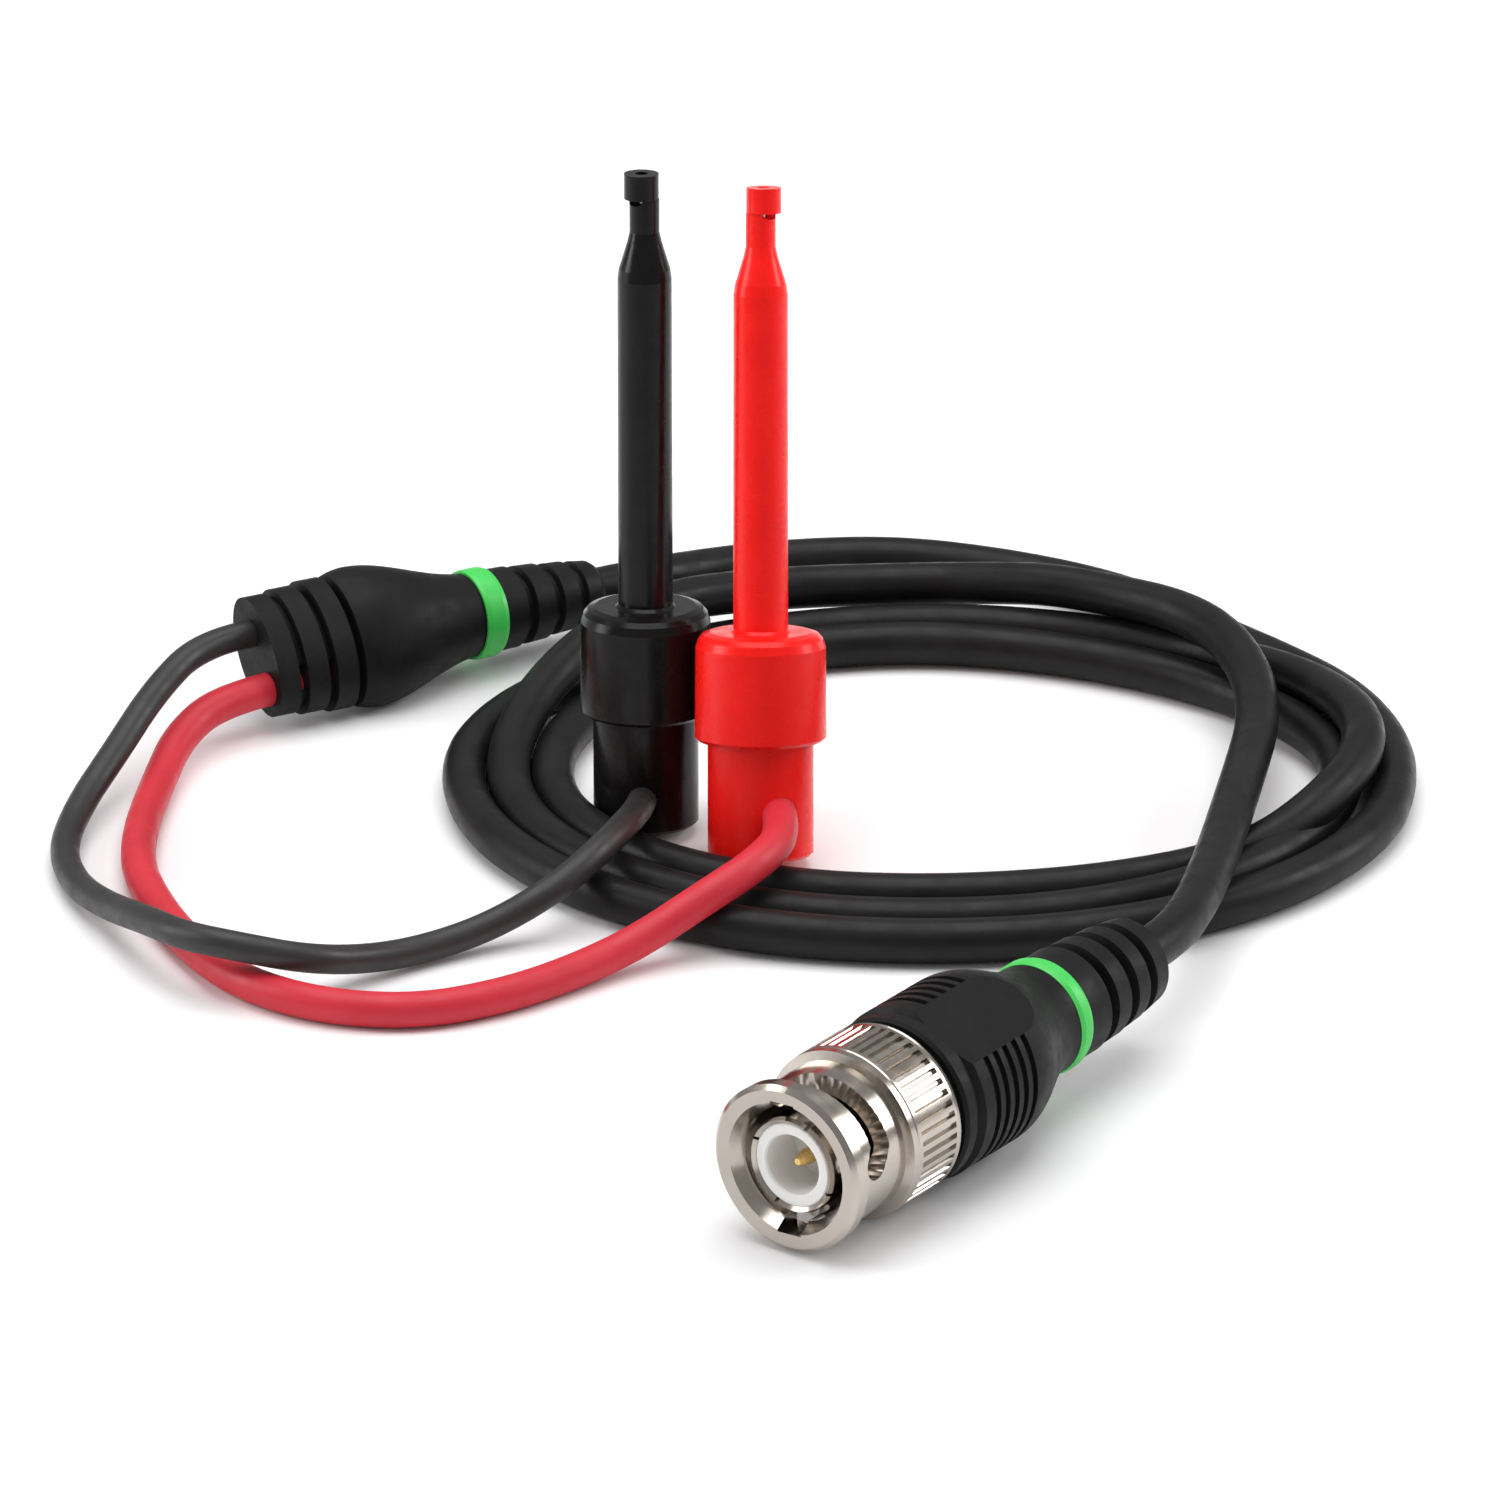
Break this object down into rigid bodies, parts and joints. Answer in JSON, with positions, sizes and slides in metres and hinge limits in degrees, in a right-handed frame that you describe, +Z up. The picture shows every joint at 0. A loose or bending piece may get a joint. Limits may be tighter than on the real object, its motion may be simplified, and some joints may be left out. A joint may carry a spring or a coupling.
{
  "type": "oscilloscope test lead",
  "caption": "Oscilloscope test lead: bayonet coaxial plug, coiled cable, moulded splitter and red and black leads ending in spring-loaded hook clips.",
  "frame": {"origin": "on the surface the lead lies on, under the middle of the box around the plug, the splitter and the two standing clips", "axes": "+Z up, -Y towards the viewer, who faces the plug's open end, +X to the right"},
  "size_m": [0.1169, 0.1395, 0.0573],
  "materials": {
    "nickel": "bright nickel plate",
    "gold": "gold plate",
    "brass": "plain",
    "steel": "spring steel",
    "ptfe": "waxy white",
    "gasket": "soft",
    "black_moulding": "satin",
    "marker_green": "satin",
    "coax_jacket": "satin",
    "splice_sleeve": "shrunk",
    "red_plastic": "gloss",
    "black_plastic": "gloss",
    "red_silicone": "satin",
    "black_silicone": "satin"
  },
  "bodies": {
    "lead_set": {"plug_body": "nickel", "outer_contact": "nickel", "gasket": "gasket", "insulator": "ptfe", "centre_pin": "gold", "crimp_ferrule": "nickel", "coax_in_plug": "coax_jacket", "plug_boot": "black_moulding", "plug_ring": "marker_green", "wave_spring": "steel", "splitter_boot": "black_moulding", "splitter_ring": "marker_green", "coax_in_splitter": "coax_jacket", "black_splice": "splice_sleeve", "red_splice": "splice_sleeve", "black_lead_root": "black_silicone", "red_lead_root": "red_silicone", "red_button": "red_plastic", "red_terminal": "brass", "red_hook_wire": "steel", "red_hook_block": "red_plastic", "red_spring": "steel", "black_button": "black_plastic", "black_terminal": "brass", "black_hook_wire": "steel", "black_hook_block": "black_plastic", "black_spring": "steel", "coax_plug_side": "coax_jacket", "coax_splitter_side": "coax_jacket", "coax_coil": "coax_jacket", "red_lead": "red_silicone", "black_lead": "black_silicone"},
    "red_clip_sleeve": {"red_sleeve": "red_plastic"},
    "black_clip_sleeve": {"black_sleeve": "black_plastic"},
    "washer": {"thrust_washer": "brass"},
    "nut": {"coupling_nut": "nickel", "nut_back_ring": "nickel"}
  },
  "joints": [
    {"name": "red_clip_slide", "type": "slide", "parent": "lead_set", "child": "red_clip_sleeve", "axis": [0, -0.2588, -0.9659], "range_m": [0, 0.0034], "stiffness_N_per_m": 300, "deforming": ["red_spring"]},
    {"name": "black_clip_slide", "type": "slide", "parent": "lead_set", "child": "black_clip_sleeve", "axis": [0, -0.1392, -0.9903], "range_m": [0, 0.0034], "stiffness_N_per_m": 300, "deforming": ["black_spring"]},
    {"name": "nut_float", "type": "slide", "parent": "lead_set", "child": "washer", "axis": [-0.6004, -0.7997, 0], "range_m": [0, 0.0008], "stiffness_N_per_m": 2000, "deforming": ["wave_spring"]},
    {"name": "nut_turn", "type": "hinge", "parent": "washer", "child": "nut", "pos_m": [0.0077, -0.06, 0.00745], "axis": [-0.6004, -0.7997, 0], "continuous": true}
  ]
}
